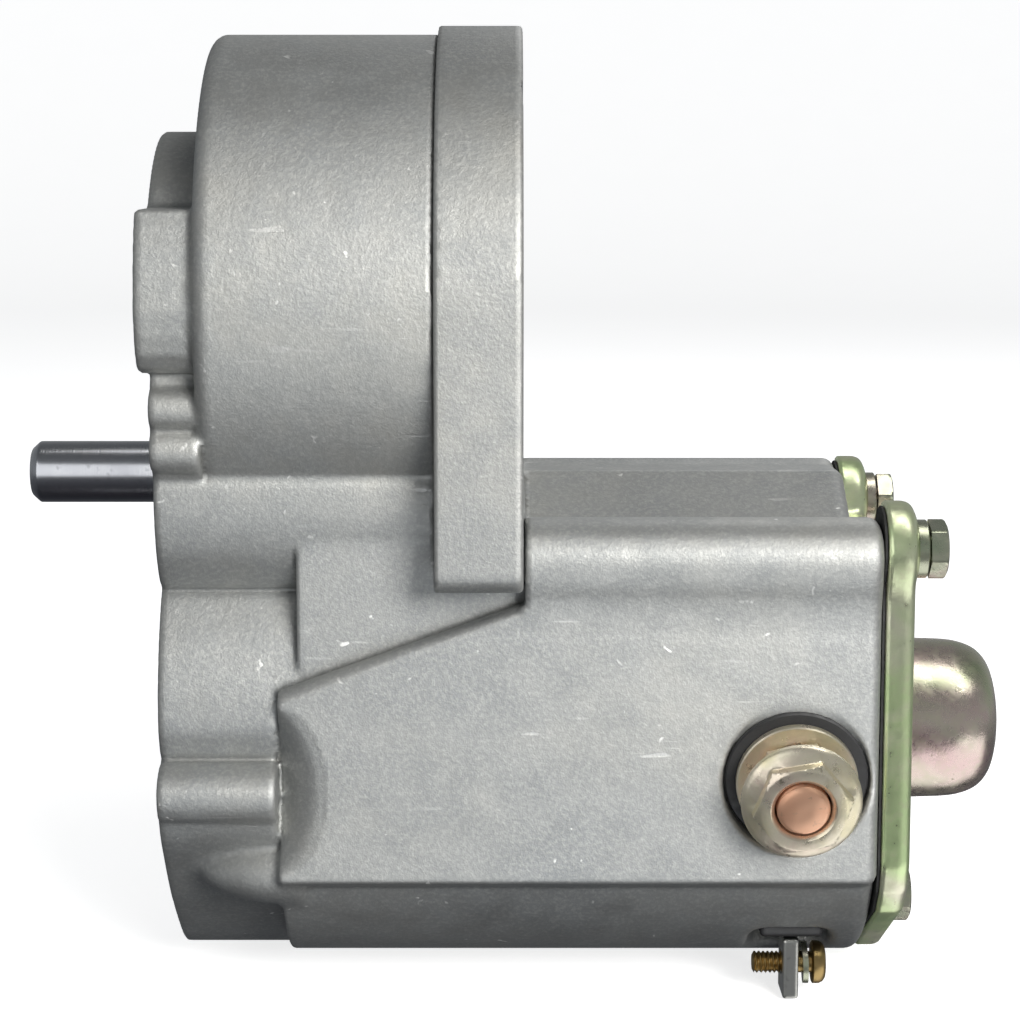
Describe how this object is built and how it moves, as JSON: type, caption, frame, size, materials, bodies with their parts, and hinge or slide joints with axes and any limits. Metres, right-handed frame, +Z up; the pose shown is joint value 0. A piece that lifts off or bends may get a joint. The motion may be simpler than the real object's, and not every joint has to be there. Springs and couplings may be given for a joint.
{
  "type": "geared dc motor",
  "caption": "Cast-housing DC motor geared down to an offset output shaft, with a solenoid switch barrel, battery stud and zinc-plated end cover.",
  "frame": {"origin": "centre of the output shaft's end face", "axes": "+X along the output shaft into the body, towards the switch cover; +Z up, from the shaft towards the motor drum; +Y across the body, away from the side that carries the battery stud"},
  "size_m": [0.1579, 0.0899, 0.1533],
  "materials": {
    "cast_aluminium": "bead-blasted die casting, satin",
    "yellow_zinc": "yellow passivated zinc, iridescent",
    "copper": "bare copper, satin",
    "enamel_wire": "enamelled copper wire",
    "rubber": "matte",
    "black_plastic": "moulded",
    "ferrite": "sintered, ground",
    "carbon": "pressed carbon",
    "brass": "dull",
    "dark_steel": "machined, oiled",
    "bright_steel": "ground and polished"
  },
  "bodies": {
    "housing": {"battery_stud": "copper", "brush_1": "carbon", "brush_2": "carbon", "brush_holder": "black_plastic", "brush_spring_1": "bright_steel", "brush_spring_2": "bright_steel", "contact_base": "black_plastic", "cover_gasket": "rubber", "cover_screw_1": "yellow_zinc", "cover_screw_2": "yellow_zinc", "cover_screw_3": "yellow_zinc", "cover_washer_1": "yellow_zinc", "cover_washer_2": "yellow_zinc", "cover_washer_3": "yellow_zinc", "end_bell_screw_1": "bright_steel", "end_bell_screw_2": "bright_steel", "end_bell_screw_3": "bright_steel", "end_bell_screw_4": "bright_steel", "fixed_core": "dark_steel", "flux_ring": "dark_steel", "front_cover": "cast_aluminium", "front_cover_screw_1": "bright_steel", "front_cover_screw_2": "bright_steel", "front_cover_screw_3": "bright_steel", "magnet_1": "ferrite", "magnet_2": "ferrite", "magnet_3": "ferrite", "magnet_4": "ferrite", "main_housing": "cast_aluminium", "motor_contact": "copper", "motor_end_bell": "cast_aluminium", "motor_front_bearing": "bright_steel", "motor_rear_bearing": "bright_steel", "output_front_bearing": "bright_steel", "output_rear_bearing": "bright_steel", "return_spring": "bright_steel", "shaft_seal": "rubber", "signal_insulator": "black_plastic", "signal_screw": "brass", "signal_spring_washer": "yellow_zinc", "signal_terminal": "bright_steel", "solenoid_bobbin": "black_plastic", "solenoid_coil": "enamel_wire", "stud_clamp_nut": "yellow_zinc", "stud_insulator": "black_plastic", "stud_nut": "yellow_zinc", "stud_washer": "yellow_zinc", "switch_cover": "yellow_zinc", "yoke_plate": "dark_steel"},
    "output": {"output_shaft": "bright_steel", "output_gear": "dark_steel", "gear_spacer": "bright_steel"},
    "armature": {"armature_shaft": "bright_steel", "armature_core": "dark_steel", "armature_winding": "enamel_wire", "commutator": "copper", "motor_pinion": "dark_steel"},
    "plunger": {"plunger": "bright_steel", "plunger_rod": "bright_steel", "contact_disc": "copper"}
  },
  "joints": [
    {"name": "output_spin", "type": "hinge", "parent": "housing", "child": "output", "pos_m": [0, 0, 0], "axis": [1, 0, 0], "continuous": true},
    {"name": "armature_spin", "type": "hinge", "parent": "housing", "child": "armature", "pos_m": [0, 0, 0.029], "axis": [1, 0, 0], "continuous": true},
    {"name": "plunger_slide", "type": "slide", "parent": "housing", "child": "plunger", "axis": [-1, 0, 0], "range_m": [0, 0.0078], "stiffness_N_per_m": 2000, "springref_m": -0.004, "deforming": ["return_spring"]}
  ],
  "couplings": [
    {"joint": "armature_spin", "follows": "output_spin", "ratio": -3.1429}
  ]
}
